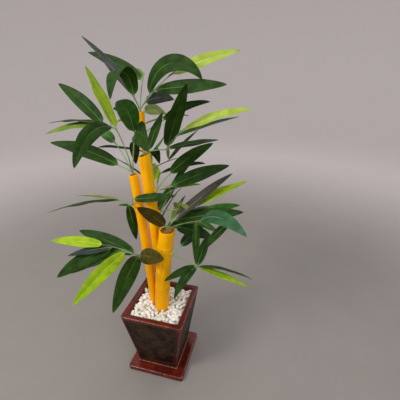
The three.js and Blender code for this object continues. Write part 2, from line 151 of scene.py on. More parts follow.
# The places of a blade's points from the midrib's edge, 0, to its own edge, 1.
BLADE_STEPS = (0.0, 0.1, 0.27, 0.46, 0.65, 0.84, 1.0)
MIDRIB = Named(half=(0.95, 0.3), rise=(0.65, 0.15), crest=(0.75, 1.0, 0.75), fade=(0.36, 0.72))
TWIG = Named(
    radius=1.4, tip_radius=1.1, curl=16, points=14,
    foot_swelling=(0.5, 2.5), joint_swelling=(0.45, 3.0),  # how much thicker, and over what length
)
BUD = Named(length=(9, 17), radius=0.8, end=0.15, points=6)
SHEATH = Named(length=6, radius=(1.9, 1.0), points=5)
STEM = Named(proud=3, stub=5, sink=1.5, radius=[1.5, 1.6, 1.35])
WIRE_SIDES = 8
SPRAY_SEED = 40
NODES_BEFORE_SPRAYS = 7
FINE_SEED = 900

# Sprays. Each is plugged into the cut top of a cane, or into its side at a height and a bearing.
# Bearings are turned from +X towards +Y, rises are above level, both in degrees.
# A twig: [twig it grows from, place along it, bearing, rise, length].
# A leaf: [its twig, place along it, bearing, rise, length, curl, turn, tone].
SPRAYS = [
    {"name": "spray_top", "cane": "cane_tall", "twigs": [
        [None, 0, -15, 40, 100], [None, 0, 100, 55, 70], [None, 0, -95, 55, 30],
    ], "leaves": [
        [0, 0.2, 81, -2, 120, 30, 80, "grey"], [0, 0.38, -16, 15, 154, 138, 76, "dark"],
        [0, 0.55, -15, 5, 148, 6, 60, "dark"], [0, 1, 44, 16, 157, 15, 34, "pale"],
        [1, 1, 130, 9, 110, 10, -20, "olive"], [1, 0.9, 162, 20, 165, 20, -25, "dark"],
        [2, 1, -84, 3, 150, 165, 10, "dark"], [2, 1, 158, 38, 180, 20, 15, "grey"],
    ]},
    {"name": "spray_middle", "cane": "cane_middle", "twigs": [
        [None, 0, 0, 10, 50], [0, 1, -10, 50, 50],
    ], "leaves": [
        [0, 0.35, 102, -33, 95, 50, -32, "dark"], [0, 0.2, 86, 42, 100, 10, 0, "dark"],
        [1, 0.1, -48, 52, 152, 10, 0, "dark"], [1, 0.2, 92, 33, 100, 20, 20, "olive"],
        [1, 0.05, 38, 4, 112, 10, 15, "dark"], [1, 0.7, 34, 13, 135, 10, 0, "dark"],
        [1, 1, -24, 19, 156, 18, 32, "pale"], [1, 0.1, 110, -60, 32, 10, 0, "olive"],
    ]},
    {"name": "spray_right", "cane": "cane_middle", "height": 469, "side": 0, "twigs": [
        [None, 0, 5, 52, 50], [None, 0, 5, 20, 33],
    ], "leaves": [
        [0, 1, -18, 37, 128, 15, -70, "dark"], [1, 1, 38, 12, 142, 15, 50, "dark"],
    ]},
    {"name": "spray_left_top", "cane": "cane_left", "twigs": [
        [None, 0, 160, 12, 40], [None, 0, 150, 42, 80], [None, 0, -115, 73, 98], [2, 1, 165, 10, 40],
        [None, 0, -40, 72, 92],
    ], "leaves": [
        [0, 1, 178, 13, 176, 25, -35, "dark"], [1, 1, 141, 4, 105, 30, -46, "green"],
        [2, 1, 145, 45, 155, 10, 20, "lime"], [3, 0.3, -91, -20, 140, 80, -40, "dark"],
        [3, 0.8, 168, 34, 128, 20, -50, "dark"], [3, 1, -178, -11, 132, 20, -25, "olive"],
        [3, 0.9, 172, -3, 142, 20, 0, "dark"], [4, 1, -70, 26, 165, 40, 19, "green"],
        [4, 0.95, -57, 3, 170, 40, 59, "dark"], [4, 0.8, 118, -43, 100, 30, 2, "dark"],
    ]},
    {"name": "spray_left_node", "cane": "cane_left", "height": 436, "side": 225, "twigs": [
        [None, 0, -175, 28, 32], [None, 0, -53, 65, 24],
    ], "leaves": [
        [0, 1, -173, 2, 97, 10, 12, "olive"], [0, 0.9, -166, -11, 172, 20, 12, "dark"],
        [1, 1, 2, 10, 96, 0, 45, "dark"], [0, 0.35, 96, -78, 105, 5, -26, "dark"],
    ]},
    {"name": "spray_front", "cane": "cane_front", "twigs": [
        [None, 0, 40, 45, 55], [None, 0, -10, 25, 85], [None, 0, 160, 40, 20], [1, 1, 10, 0, 60],
    ], "leaves": [
        [0, 0.3, 23, 39, 166, 10, 12, "plum"], [0, 0.9, 16, 26, 152, 10, 10, "lime"],
        [0, 0.3, 92, 13, 82, 10, 24, "olive"], [0, 0.4, 10, 10, 150, 10, 60, "dark"],
        [1, 1, -43, 14, 150, 60, 45, "teal"], [1, 0.9, -77, -72, 88, 5, 30, "dark"],
        [3, 1, -160, -50, 80, 20, -50, "dark"], [1, 0.9, 58, -37, 80, 10, 60, "green"],
        [1, 0.25, 54, -33, 130, 10, 79, "dark"], [2, 0.35, -98, 42, 128, 10, 62, "brown"],
    ]},
    {"name": "spray_low_right", "cane": "cane_front", "height": 336, "side": -20, "twigs": [
        [None, 0, 0, -20, 60], [None, 0, 10, 50, 30],
    ], "leaves": [
        [0, 1, 89, 10, 110, 5, 18, "dark"], [0, 1, 3, -18, 122, 10, -6, "lime"],
        [0, 1, 16, -17, 132, 30, -20, "dark"], [0, 1, -125, 3, 85, 20, -30, "dark"],
        [0, 1, -109, -20, 90, 60, -33, "dark"], [1, 1, 84, -9, 125, 10, 41, "dark"],
    ]},
    {"name": "spray_low_left", "cane": "cane_left", "height": 306, "side": 210, "twigs": [
        [None, 0, -140, 30, 50], [0, 0.5, -170, 20, 45], [1, 1, -170, 12, 22],
    ], "leaves": [
        [0, 0.8, -101, -8, 160, 20, -40, "lime"], [0, 0.15, -78, 2, 185, 20, -25, "dark"],
        [1, 1, -163, -30, 165, 20, -60, "dark"], [1, 0.95, -165, -12, 112, 15, -20, "grey"],
        [2, 1, -170, 2, 125, 15, -40, "lime"], [0, 0.3, 178, 15, 152, 15, -50, "dark"],
        [0, 0.1, -44, 28, 165, 5, 66, "brown"], [1, 0.4, -164, -25, 150, 20, -40, "dark"],
    ]},
]

# Sprays round the back, drawn by the seeded rule in draw_spray. Twigs and the leaves on each are counts.
DRAWN_SPRAYS = [
    dict(zip(("name", "cane", "height", "side", "twigs", "leaves"), row)) for row in (
        ("spray_back_top", "cane_tall", 582, 110, 3, 3),
        ("spray_back_upper", "cane_tall", 505, 70, 3, 3),
        ("spray_back_middle", "cane_tall", 425, 90, 3, 3),
        ("spray_back_right", "cane_middle", 415, 20, 2, 3),
        ("spray_back_low", "cane_tall", 335, 70, 3, 3),
    )
]
RULE = Named(
    fan=100, twig_rise=(10, 60), twig_length=(45, 80), spread=(10, 50), leaf_step=0.3,
    leaf_rise=(-20, 35), leaf_length=(115, 160), curl=(10, 45), turn=(-60, 60),
    spacing=2, samples=8, cane_samples=30, twig_free=0.4, leaf_free=0.2,
)
TONE_SHARES = [("dark", 0.55), ("green", 0.72), ("olive", 0.84), ("grey", 0.9), ("lime", 1)]

# A leaf's tone: the colours of its blade, its cloudy patches and its midrib and foot, then the depth of its
# cross ribs, its roughness and its gloss.
TONES = {
    "lime": ("a2c010", "82aa08", "cbdc58", 1.0, 0.52, 0.2),
    "pale": ("a6ba40", "8ba428", "dfe8a6", 0.9, 0.52, 0.22),
    "green": ("3f7b26", "2a5f1a", "8cb862", 0.5, 0.5, 0.18),
    "dark": ("24440c", "162e07", "5d8a3c", 0.4, 0.5, 0.12),
    "olive": ("7b9436", "5f7a26", "bac97c", 0.9, 0.52, 0.2),
    "grey": ("33403a", "222d26", "8a9c86", 0.8, 0.5, 0.15),
    # A dark green blade with a painted teal sheen, which shows paler in its cloudy patches.
    "teal": ("1d4a2c", "33683f", "86b894", 0.6, 0.4, 0.35),
    "plum": ("423e34", "30362a", "b3a6a2", 0.8, 0.5, 0.2),
    "brown": ("4c4510", "38350c", "8a7c34", 0.8, 0.5, 0.15),
}
VEINS = 17  # lines from the midrib to the edge of a blade
RIDGES = Named(count=64, slope=-9)  # cross ribs along a blade, and how far they slant
STEM_COLOURS = ("86a870", "5a5a2c")

# The photographed view, and the studio.

EYE = (237, -525, 705)
PITCH = 23.9  # degrees below level
YAW = 14.8  # degrees turned from +Y towards -X
FOCAL_SHARE = 294 / 400  # focal length as a share of the picture's width
SENSOR = 36
# The floor's reach, the bend at its edge and the height of the wall, in metres.
SWEEP = Named(
    flat=3.0, bend=2.5, height=5.0, around=64, flat_loops=(0.001, 0.33, 0.67, 1), first_bend=0.1,
    bend_loops=10, wall_loops=3,
)
ROOM_LIGHT = 0.95
# Lamps: name, place and width in metres, power in watts, colour.
LAMPS = (
    ("window", (-1.1, -1.3, 1.7), 0.8, 30, "fffaf4"),
    ("room", (1.3, -1.2, 1.3), 1.2, 9, "f8f9ff"),
    ("back", (0.3, 1.6, 1.8), 1.2, 4, "fffafa"),
)
LAMP_AIM = (0, 0, 0.35)


# Numbers and points.


def mix(low, high, share):
    return low + (high - low) * share


def unit(vector):
    return vector / np.linalg.norm(vector, axis=-1, keepdims=True)


def smooth(low, high, value):
    """0 below low, 1 above high, and an even slope with soft ends between them."""
    share = np.clip((value - low) / (high - low), 0, 1)
    return share * share * (3 - 2 * share)


def hump(distance, width):
    return np.exp(-((distance / width) ** 2))


def humps(distance, rows):
    """The sum of several humps, each given by its height, place and width."""
    return sum(height * hump(distance - place, width) for height, place, width in rows)


def angles_round(count):
    return np.arange(count) / count * TURN


def angles_from(middle, angles):
    """Angles measured from a middle one, within half a turn either way."""
    return (angles - middle + math.pi) % TURN - math.pi


def level(bearing):
    """The level direction at a bearing in degrees."""
    return np.array((math.cos(math.radians(bearing)), math.sin(math.radians(bearing)), 0))


def seeded(seed):
    """A repeatable stream of numbers from 0 to 1, the same as in the part's source."""
    state = seed

    def draw():
        nonlocal state
        state = (state * 1664525 + 1013904223) % 2**32
        return state / 2**32

    return draw


def linear(colour):
    """A colour written as six hex digits, as the shaders' linear red, green, blue and alpha."""
    parts = [int(colour[i:i + 2], 16) / 255 for i in (0, 2, 4)]
    return tuple(p / 12.92 if p <= 0.04045 else ((p + 0.055) / 1.055) ** 2.4 for p in parts) + (1.0,)


# Meshes.


def skin(loops, look=0, uv=None, capped=True, **values):
    """A skin over loops of points, closed at both ends if it is capped. The look, a number or an array of one
    for each strip between loops or for each face, picks the material. The values are kept at the points."""
    rows, count = loops.shape[:2]
    ring = np.arange(count)
    low = np.arange(rows - 1)[:, None] * count
    following = np.roll(ring, -1)
    quads = np.stack([low + ring, low + following, low + count + following, low + count + ring], -1)
    look = np.asarray(look)
    looks = np.broadcast_to(look if look.ndim == 2 else look.reshape(-1, 1), (rows - 1, count)).reshape(-1)
    caps = [ring[::-1].tolist(), (ring + (rows - 1) * count).tolist()] if capped else []
    return Named(
        points=loops.reshape(-1, 3),
        faces=quads.reshape(-1, 4).tolist() + caps,
        looks=looks.tolist() + [int(looks[0]), int(looks[-1])][:len(caps)],
        uv=None if uv is None else uv.reshape(-1, 2),
        values={name: np.broadcast_to(v, (rows, count)).reshape(-1) for name, v in values.items()},
    )


def mesh_of(name, points, edges, faces):
    """A mesh from points in millimetres."""
    mesh = bpy.data.meshes.new(name)
    mesh.from_pydata((np.asarray(points) * MM).tolist(), edges, faces)
    return mesh


def keep(mesh, name, values):
    """Keeps a number at each point of a mesh."""
    kept = np.concatenate(values).astype(np.float32)
    mesh.attributes.new(name, "FLOAT", "POINT").data.foreach_set("value", kept)


def soften(mesh, crease):
    """Shades a mesh smooth. Edges sharper than the crease, in degrees, stay sharp."""
    mesh.polygons.foreach_set("use_smooth", [True] * len(mesh.polygons))
    mesh.update()
    mesh.set_sharp_from_angle(angle=math.radians(crease))


def placed(name, data):
    """A new object of the scene from a mesh, a lamp or a lens."""
    made = bpy.data.objects.new(name, data)
    bpy.context.scene.collection.objects.link(made)
    return made


def join(name, skins, materials, crease=40):
    """One mesh object of several skins."""
    faces, start = [], 0
    for s in skins:
        faces += [[start + i for i in face] for face in s.faces]
        start += len(s.points)
    mesh = mesh_of(name, np.concatenate([s.points for s in skins]), [], faces)
    for material in materials:
        mesh.materials.append(material)
    mesh.polygons.foreach_set("material_index", [look for s in skins for look in s.looks])
    if skins[0].uv is not None:
        corners = np.empty(len(mesh.loops), np.int32)
        mesh.loops.foreach_get("vertex_index", corners)
        places = np.concatenate([s.uv for s in skins])[corners]
        mesh.uv_layers.new(name="blade").data.foreach_set("uv", places.astype(np.float32).ravel())
    for key in skins[0].values:
        keep(mesh, key, [s.values[key] for s in skins])
    soften(mesh, crease)
    return placed(name, mesh)


def settle(made, slot, *nodes):
    """Makes an object ride with the plant, in place of CAD nodes. The slot is not used."""
    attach(made, "root")
    if nodes:
        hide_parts(*nodes)
    return made


def rounded_square(half, corner, side_steps=WALL_STEPS, corner_steps=CORNER_STEPS):
    """A loop round a square with rounded corners, anticlockwise seen from above, at z = 0."""
    reach = half - corner
    a = np.arange(corner_steps) / corner_steps * math.pi / 2
    x = np.append(np.full(side_steps, reach + corner), reach + corner * np.cos(a))
    y = np.append(mix(-reach, reach, np.arange(side_steps) / side_steps), reach + corner * np.sin(a))
    quarters = np.arange(4)[:, None] * math.pi / 2
    turned = [x * np.cos(quarters) - y * np.sin(quarters), x * np.sin(quarters) + y * np.cos(quarters)]
    return np.stack([*turned, 0 * turned[0]], -1).reshape(-1, 3)


def square_loops(profile, corner, **steps):
    """Loops of a square block from pairs of half its side and a height. Its corners shrink with the side."""
    widest = max(half for half, _ in profile)
    return np.array([
        rounded_square(half, corner * half / widest, **steps) + (0, 0, z) for half, z in profile
    ])


# Node trees.


def node(tree, kind, inputs=None, **settings):
    """Adds a node. Inputs are given by name or number, as a value or as the socket that feeds them. The
    functions after this one find the tree by such a socket."""
    made = tree.nodes.new(kind)
    for key, value in settings.items():
        setattr(made, key, value)
    for key, value in (inputs or {}).items():
        if isinstance(value, bpy.types.NodeSocket):
            tree.links.new(value, made.inputs[key])
        else:
            made.inputs[key].default_value = value
    return made


def out_of(tree, kind, inputs=None, socket=0, **settings):
    """Adds a node and gives the socket of one of its outputs."""
    return node(tree, kind, inputs, **settings).outputs[socket]


def maths(operation, *inputs):
    tree = next(i.id_data for i in inputs if isinstance(i, bpy.types.NodeSocket))
    return out_of(tree, "ShaderNodeMath", dict(enumerate(inputs)), operation=operation)


def times(first, second):
    return maths("MULTIPLY", first, second)


def blend(share, first, second):
    """The mix of two colours, each a socket or six hex digits."""
    first, second = (linear(c) if isinstance(c, str) else c for c in (first, second))
    inputs = {0: share, 6: first, 7: second}
    return out_of(share.id_data, "ShaderNodeMix", inputs, 2, data_type="RGBA")


def ranged(value, low, high, to_low=0.0, to_high=1.0):
    inputs = {"Value": value, "From Min": low, "From Max": high, "To Min": to_low, "To Max": to_high}
    return out_of(value.id_data, "ShaderNodeMapRange", inputs, interpolation_type="SMOOTHSTEP")


def coats(colour, *layers):
    """A colour with others laid over it in turn. A layer is a colour, the value that it follows, where that
    starts to show it, where it shows most, and its share there."""
    for over, value, start, full, share in layers:
        colour = blend(ranged(value, start, full, 0.0, share), colour, over)
    return colour


def bump(height, distance, strength=1.0, under=None):
    inputs = {"Height": height, "Distance": distance * MM, "Strength": strength}
    if under is not None:
        inputs["Normal"] = under
    return out_of(height.id_data, "ShaderNodeBump", inputs)


def own_place(tree):
    return out_of(tree, "ShaderNodeTexCoord", socket="Object")


def cloud(tree, scale, detail=3.0, stretch=(1, 1, 1), distortion=0.0):
    """Soft noise on the object's own coordinates, about 1 / scale metres from patch to patch."""
    laid = out_of(tree, "ShaderNodeMapping", {"Vector": own_place(tree), "Scale": stretch})
    inputs = {"Vector": laid, "Scale": scale, "Detail": detail, "Distortion": distortion}
    return out_of(tree, "ShaderNodeTexNoise", inputs, "Fac")


def kept_value(tree, name):
    return out_of(tree, "ShaderNodeAttribute", socket="Fac", attribute_name=name)


def finish_of(name, gloss=0.5):
    """A new material, with the shader's specular level set, and its tree."""
    material = bpy.data.materials.new(name)
    material.use_nodes = True
    tree = material.node_tree
    tree.nodes["Principled BSDF"].inputs["Specular IOR Level"].default_value = gloss
    return material, tree


def feed(material, colour, roughness, normal):
    """Feeds the shader of a material, which is then finished."""
    tree = material.node_tree
    shader = tree.nodes["Principled BSDF"]
    for name, socket in (("Base Color", colour), ("Roughness", roughness), ("Normal", normal)):
        tree.links.new(socket, shader.inputs[name])
    return material


def start_tree(name, **sizes):
    """A Geometry Nodes tree with named inputs for its sizes. Gives the tree and the sockets of those."""
    tree = bpy.data.node_groups.new(name, "GeometryNodeTree")
    tree.interface.new_socket("Geometry", in_out="INPUT", socket_type="NodeSocketGeometry")
    for size, value in sizes.items():
        kind = "NodeSocketInt" if isinstance(value, int) else "NodeSocketFloat"
        tree.interface.new_socket(size, in_out="INPUT", socket_type=kind).default_value = value
    tree.interface.new_socket("Geometry", in_out="OUTPUT", socket_type="NodeSocketGeometry")
    return tree, node(tree, "NodeGroupInput").outputs


def end_tree(tree, geometry, material):
    """Closes a tree: its instances are made real and get their material."""
    real = out_of(tree, "GeometryNodeRealizeInstances", {"Geometry": geometry})
    finished = out_of(tree, "GeometryNodeSetMaterial", {"Geometry": real, "Material": material})
    tree.links.new(finished, node(tree, "NodeGroupOutput").inputs[0])
    return tree


def bake_nodes(made, tree):
    """Runs a Geometry Nodes tree on an object, which keeps the plain mesh that results."""
    modifier = made.modifiers.new(tree.name, "NODES")
    modifier.node_group = tree
    bpy.context.view_layer.update()
    evaluated = made.evaluated_get(bpy.context.evaluated_depsgraph_get())
    mesh = bpy.data.meshes.new_from_object(evaluated)
    name, old = made.name, made.data
    made.modifiers.remove(modifier)
    made.data = mesh
    bpy.data.meshes.remove(old)
    mesh.name = name
    return made


# Finishes.


def glaze_finish(name, roughness, gloss):
    """Red-brown glaze, mottled, with sparse pale specks painted in as glints and a pale line painted along
    its edges as their highlight, and burnt to a dark olive over the embossed panels. The roughness is given
    by its range."""
    material, tree = finish_of(name, gloss)
    broad = cloud(tree, 38, 4.0, distortion=0.8)
    fine = cloud(tree, 210, 3.0)
    panel, emboss = kept_value(tree, "panel"), kept_value(tree, "emboss")
    red = coats(
        GLAZE.red, (GLAZE.deep_red, broad, 0.34, 0.68, 1), (GLAZE.dark_red, fine, 0.55, 0.75, 0.5),
    )
    burnt = coats(
        GLAZE.burnt, (GLAZE.deep_burnt, broad, 0.35, 0.7, 1),
        (GLAZE.crest, emboss, 0.1, 1.1, 1), (GLAZE.hollow, emboss, 0.2, -0.6, 1),
    )
    # Sparse pale specks, fewer over the panels: painted glints.
    specks = out_of(tree, "ShaderNodeTexVoronoi", {"Vector": own_place(tree), "Scale": 420.0}, "Distance")
    few = ranged(cloud(tree, 90, 2.0), 0.52, 0.6)
    glint = times(ranged(specks, 0.2, 0.12), few)
    glint = times(glint, maths("SUBTRACT", 0.45, times(panel, 0.3)))
    # A painted highlight: a pale line along the edges, broken by the fine noise.
    thin = times(kept_value(tree, "thin"), ranged(fine, 0.36, 0.6, 0.0, GLAZE.thin_share))
    colour = blend(panel, red, burnt)
    colour = blend(glint, colour, GLAZE.speck)
    colour = blend(thin, colour, GLAZE.thin)
    ripples = bump(broad, 0.5, 0.35)
    normal = bump(fine, 0.12, 0.5, ripples)
    return feed(material, colour, ranged(fine, 0.3, 0.75, *roughness), normal)


def stone_finish():
    material, tree = finish_of("white_chips")
    grain = cloud(tree, 420, 4.0)
    colour = blend(kept_value(tree, "tint"), "e2dfd2", "fbfaf3")
    colour = coats(colour, ("bdb3a0", grain, 0.55, 0.8, 0.3))
    return feed(material, colour, ranged(grain, 0.3, 0.7, 0.62, 0.85), bump(grain, 0.35, 0.7))


def grained_finish(name, grain_of, colours, full, roughness, depth):
    """A dull finish whose first colour turns to the second with its grain, and wholly where that is full."""
    material, tree = finish_of(name)
    grain = cloud(tree, **grain_of)
    colour = coats(colours[0], (colours[1], grain, 0.35, full, 1))
    return feed(material, colour, ranged(grain, 0.3, 0.7, *roughness), bump(grain, depth, 0.8))


def paint_finish(name, shade):
    """Yellow enamel brushed along a cane, with painted shade in its channels, by its rings and round the feet
    of its side shoots, and darker along its cracks.
    """
    material, tree = finish_of(name + "_enamel", 0.12)
    streaks = cloud(tree, 260, 3.0, stretch=(1, 1, 0.05))
    broad = cloud(tree, 30, 2.0)
    # Painted shade in the channels, by the rings and round the feet of side shoots, with real dark cracks.
    groove = kept_value(tree, "groove")
    colour = coats(
        shade, ("ffae00", broad, 0.35, 0.7, 1), ("ffc400", streaks, 0.5, 0.8, 0.35),
        ("f8a200", streaks, 0.42, 0.25, 0.3), ("c27404", groove, 0.25, 1.0, 0.75),
        ("6a3d06", groove, 1.0, 1.6, 0.8), ("c07a08", cloud(tree, 500, 2.0), 0.72, 0.8, 0.4),
    )
    normal = bump(streaks, 0.2, 0.5, bump(broad, 0.6, 0.4))
    return feed(material, colour, ranged(streaks, 0.3, 0.7, 0.34, 0.5), normal)


def leaf_finish(tone, blade, patch, rib, ridged, rough, gloss):
    """A plastic leaf: cloudy blade, pale midrib that fades towards the tip, fine veins and cross ribs."""
    material, tree = finish_of(tone + "_leaf", gloss)
    split = node(tree, "ShaderNodeSeparateXYZ", {"Vector": out_of(tree, "ShaderNodeUVMap", uv_map="blade")})
    along = split.outputs["Y"]
    off_rib = maths("ABSOLUTE", maths("SUBTRACT", split.outputs["X"], 0.5))
    patches = cloud(tree, 55, 3.0, distortion=0.5)
    veins = maths("SINE", times(off_rib, TURN * VEINS))
    ridge_place = maths("ADD", times(along, RIDGES.count), times(off_rib, RIDGES.slope))
    ridges = maths("SINE", times(ridge_place, TURN))
    colour = coats(
        blade, (patch, patches, 0.35, 0.7, 1), (patch, ridges, 0.2, 1.0, 0.32 * ridged),
        (rib, veins, 0.3, 1.0, 0.14), (rib, along, 0.14, 0.0, 0.6),
        (rib, kept_value(tree, "rib"), 0.1, 0.9, 0.85),
    )
    ribbed = bump(ridges, 0.16 * ridged, 0.7)
    veined = bump(veins, 0.08, 0.6, ribbed)
    roughness = ranged(patches, 0.3, 0.7, rough - 0.06, rough + 0.1)
    return feed(material, colour, roughness, bump(patches, 0.7, 0.3, veined))


def stem_finish():
    material, tree = finish_of("stem_plastic")
    fresh, dry = STEM_COLOURS
    colour = coats(fresh, (dry, cloud(tree, 12, 2.0), 0.5, 0.62, 1))
    grain = cloud(tree, 700, 2.0)
    return feed(material, colour, ranged(grain, 0.3, 0.7, 0.28, 0.42), bump(grain, 0.1, 0.5))


def floor_finish():
    material, tree = finish_of("pale_floor")
    grain = cloud(tree, 9, 2.0)
    far = out_of(tree, "ShaderNodeVectorMath", {0: own_place(tree)}, "Value", operation="LENGTH")
    colour = coats(blend(grain, "8b8682", "85807c"), ("cfc9c8", far, 0.7, 2.2, 1))
    return feed(material, colour, ranged(grain, 0.0, 1.0, 0.5, 0.6), bump(grain, 0.05, 0.1))


# Pot and plate.


def pot_half(z):
    """Half the pot's side at a height: the sides slope in straight lines from rim to foot."""
    return mix(POT.foot / 2, POT.rim / 2, (z - POT_FOOT) / (POT.top - POT_FOOT))


def rounding(half, z, radius, start, end, steps=5):
    """Profile points round an edge of a radius about (half, z), between two angles in degrees."""
    return [
        (half + radius * math.cos(a), z + radius * math.sin(a))
        for a in np.radians(np.linspace(start, end, steps + 1))
    ]


def emboss_height(along, z, side):
    """The curling relief of a panel, from about -1 to 1, at a place along the wall and up it."""
    where = Vector((along, z / EMBOSS.stretch, side * EMBOSS.side_shift))
    swirl = noise.noise_vector(where / EMBOSS.swirl_size)
    bent = (where + swirl * EMBOSS.swirl) / EMBOSS.size
    crest = 1 - abs(noise.noise(bent)) * EMBOSS.sharpness
    broad = noise.noise(bent * 0.5 + Vector(EMBOSS.broad_shift))
    return max(crest, EMBOSS.lowest) * EMBOSS.crest_share + broad * EMBOSS.broad_share


def pot_skin():
    """The whole pot: underside, ledge, embossed outer walls, rounded rim, inner walls and floor."""
    half_top, ledge, floor = POT.rim / 2, POT.ledge / 2, POT_BOTTOM + POT.floor
    edge, bevel = POT.edge, POT.bevel
    wall_rows = np.linspace(POT_FOOT, POT.top - edge, POT.wall_rows)
    under = [(POT.inmost_under, POT_BOTTOM), (ledge - bevel, POT_BOTTOM), (ledge, POT_BOTTOM + bevel)]
    step = [(ledge, POT_FOOT - bevel), (ledge - 0.8 * bevel, POT_FOOT - 0.1 * bevel)]
    rim = rounding(half_top - edge, POT.top - edge, edge, 8, 90)
    lip = rounding(half_top - POT.wall + edge, POT.top - edge, edge, 90, 180)
    inner_rows = np.linspace(POT.top - 2 * edge, floor + POT.fillet, POT.inner_rows)
    inside = [(pot_half(z) - POT.wall, z) for z in inner_rows]
    bottom = [(inside[-1][0] - POT.fillet, floor), (POT.inmost_inside, floor)]
    outer = [(pot_half(z), z) for z in wall_rows]
    loops = square_loops(under + step + outer + rim + lip + inside + bottom, POT.corner)
    panel, emboss, thin = (np.zeros(loops.shape[:2]) for _ in range(3))
    noise.seed_set(EMBOSS.seed)
    first = len(under) + len(step)
    # A painted highlight along the ledge's top edge and the rim's outer edge.
    thin[first - 1] = 1
    thin[first + len(outer) + 1:first + len(outer) + len(rim) - 2] = 1
    low, high = POT_FOOT + POT.panel_inset, POT.top - POT.panel_inset
    walls = [
        (side, level(90 * side), side * (WALL_STEPS + CORNER_STEPS) + i)
        for side in range(4) for i in range(WALL_STEPS)
    ]
    for row, z in enumerate(wall_rows, first):
        half = pot_half(z)
        burnt = POT.border_burn * smooth(high + POT.burn_top[0], high - POT.burn_top[1], z)
        for side, outward, i in walls:
            along = loops[row, i] @ (-outward[1], outward[0], 0)
            panel[row, i] = burnt * smooth(0, POT.border_fade, half - abs(along))
            inside_by = min(half - POT.panel_inset - abs(along), z - low, high - z)
            if inside_by <= 0:
                continue
            share = smooth(0, PANEL_EDGE, inside_by)
            height = emboss_height(along, z, side)
            grain = noise.noise(Vector((along, z, side * EMBOSS.grain_shift)) / EMBOSS.grain_size)
            raised = share * (height * EMBOSS.height + grain * EMBOSS.grain)
            loops[row, i] -= outward * (POT.panel_depth * share - raised)
            panel[row, i], emboss[row, i] = max(share, panel[row, i]), height * share
    sunk_faces = np.minimum(panel[:-1], panel[1:])
    looks = (np.minimum(sunk_faces, np.roll(sunk_faces, -1, 1)) > 0.5).astype(int)
    return skin(loops, looks, panel=panel, emboss=emboss, thin=thin)


def plate_skin():
    """The foot plate: rounded edges, and a top that dips a little towards the pot."""
    half, edge, height = PLATE.side / 2, PLATE.edge, PLATE.height
    under = [(PLATE.inmost, 0), (half - edge, 0)]
    low_edge = rounding(half - edge, edge, edge, -80, 0)
    top_edge = rounding(half - edge, height - edge, edge, 0, 90)
    top = [(half - edge - reach, height - PLATE.dish * share) for reach, share in PLATE.dish_slope]
    top.append((PLATE.inmost, height - PLATE.dish))
    loops = square_loops(under + low_edge + top_edge + top, PLATE.corner, side_steps=PLATE.side_steps)
    thin = np.zeros(loops.shape[:2])
    first = len(under) + len(low_edge)
    # A painted highlight along the plate's top edge.
    thin[first + 2:first + len(top_edge) - 2] = 1
    for point in loops.reshape(-1, 3):
        point *= 1 + PLATE.waver * noise.noise(Vector(point) / PLATE.waver_size)
    return skin(loops, panel=0, emboss=0, thin=thin)


# Canes.


class CaneLine:
    """The line of a cane through its foot, knee and top."""

    def __init__(self, cane):
        self.foot, self.knee, self.top = (np.array(p, float) for p in (cane.foot, cane.knee, cane.top))
        steps = self.point(np.linspace(0, 1, CANE.line_steps + 1))
        self.length = np.linalg.norm(np.diff(steps, axis=0), axis=1).sum()

    def point(self, t):
        t = np.asarray(t, float)[..., None]
        return (1 - t) ** 2 * self.foot + 2 * t * (1 - t) * self.knee + t * t * self.top

    def way(self, t):
        t = np.asarray(t, float)[..., None]
        return unit(2 * (1 - t) * (self.knee - self.foot) + 2 * t * (self.top - self.knee))

    def at_height(self, z):
        along, step = 0.0, 0.5
        while step > 1e-8:
            if self.point(along + step)[2] < z:
                along += step
            step /= 2
        return along


def level_way(side, up):
    """The way off a cane at a bearing, square to the cane."""
    return unit(level(side) - up * (level(side) @ up))


def stub_skin(line, cane, plan):
    """The cut side shoot that a spray is plugged into: a flared collar with a bore."""
    along = line.at_height(plan["height"])
    up = line.way(along)
    way = level_way(plan["side"], up)
    across = np.cross(up, way)
    out, radius, lip, bore = STUB.out, STUB.radius, STUB.lip, STUB.bore
    # Pairs of a distance from the shoot's axis and one off the cane's skin.
    profile = [
        (0.5, -3), (radius + 1.6, -2.0), (radius + 0.7, 0.6), (radius, 1.4), (radius - 0.5, 2.6),
        (lip + 0.2, out - 0.5), (lip - 0.2, out), (bore + 0.3, out), (bore, out - 0.5), (bore, 1.5),
        (0.4, 1.4),
    ]
    angles = angles_round(STUB.around)[:, None]
    ring = np.cos(angles) * across + np.sin(angles) * np.cross(way, across)
    centre, reach = line.point(along), mix(*cane.radius, along)
    loops = np.array([centre + way * (reach + off) + ring * wide for wide, off in profile])
    # Darker towards the foot: painted shade where the shoot meets the cane.
    return skin(loops, groove=np.linspace(0.9, 0.0, len(profile))[:, None])


